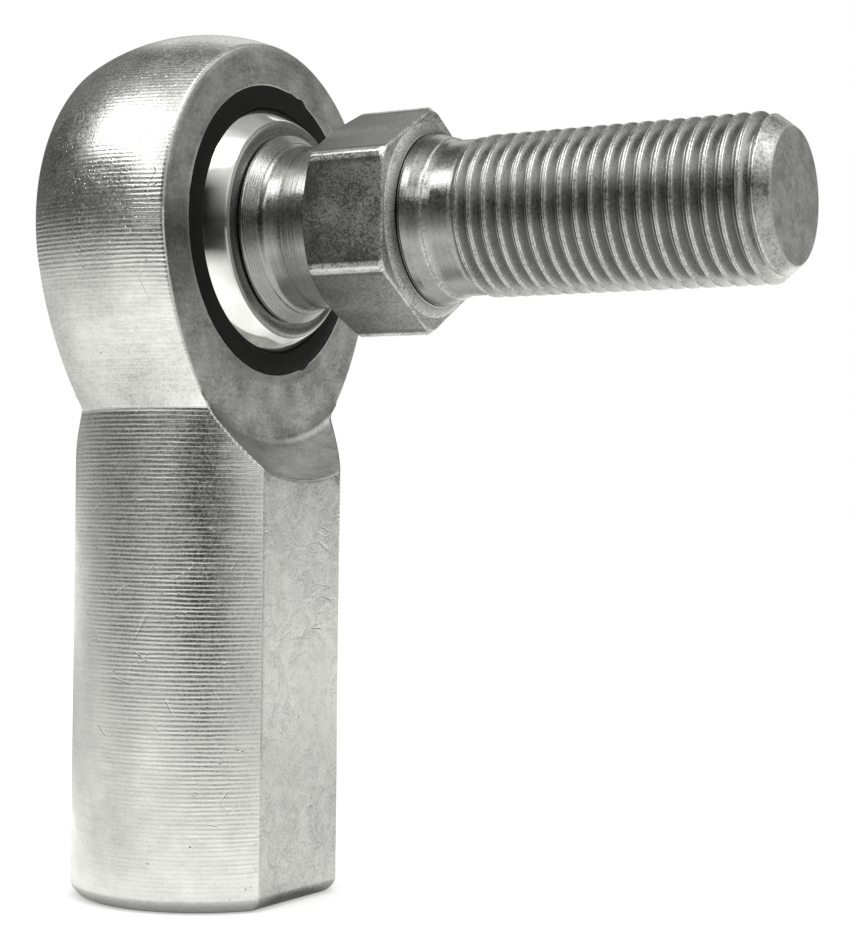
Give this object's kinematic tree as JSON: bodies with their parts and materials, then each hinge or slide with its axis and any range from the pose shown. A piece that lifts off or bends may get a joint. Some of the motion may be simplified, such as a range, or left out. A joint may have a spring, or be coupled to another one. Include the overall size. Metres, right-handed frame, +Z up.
{
  "type": "rod end bearing",
  "caption": "Female rod end bearing with a threaded ball stud: internally threaded shank with wrench flats, round head, moulded race and a hexagon-shouldered swivelling stud.",
  "frame": {"origin": "centre of the shank's end face, at the mouth of its threaded hole", "axes": "+Z up the shank axis towards the head, +X along the stud at rest, away from the ball; the threaded hole opens towards -Z"},
  "size_m": [0.0613, 0.0334, 0.0721],
  "materials": {
    "body_zinc": "turned and zinc plated, fine ring marks",
    "race_polymer": "matt black moulded polymer",
    "ball_steel": "polished",
    "stud_zinc": "turned and rolled, zinc plated"
  },
  "bodies": {
    "body": {"rod_end_body": "body_zinc"},
    "race": {"race": "race_polymer"},
    "ball": {"ball": "ball_steel"},
    "stud": {"stud": "stud_zinc"}
  },
  "joints": [
    {"name": "race_turn", "type": "hinge", "parent": "body", "child": "race", "pos_m": [0, 0, 0.0554], "axis": [1, 0, 0], "continuous": true},
    {"name": "ball_tilt", "type": "hinge", "parent": "race", "child": "ball", "pos_m": [0, 0, 0.0554], "axis": [0, 1, 0], "range_deg": [-22, 22]},
    {"name": "stud_spin", "type": "hinge", "parent": "ball", "child": "stud", "pos_m": [0, 0, 0.0554], "axis": [1, 0, 0], "continuous": true}
  ]
}
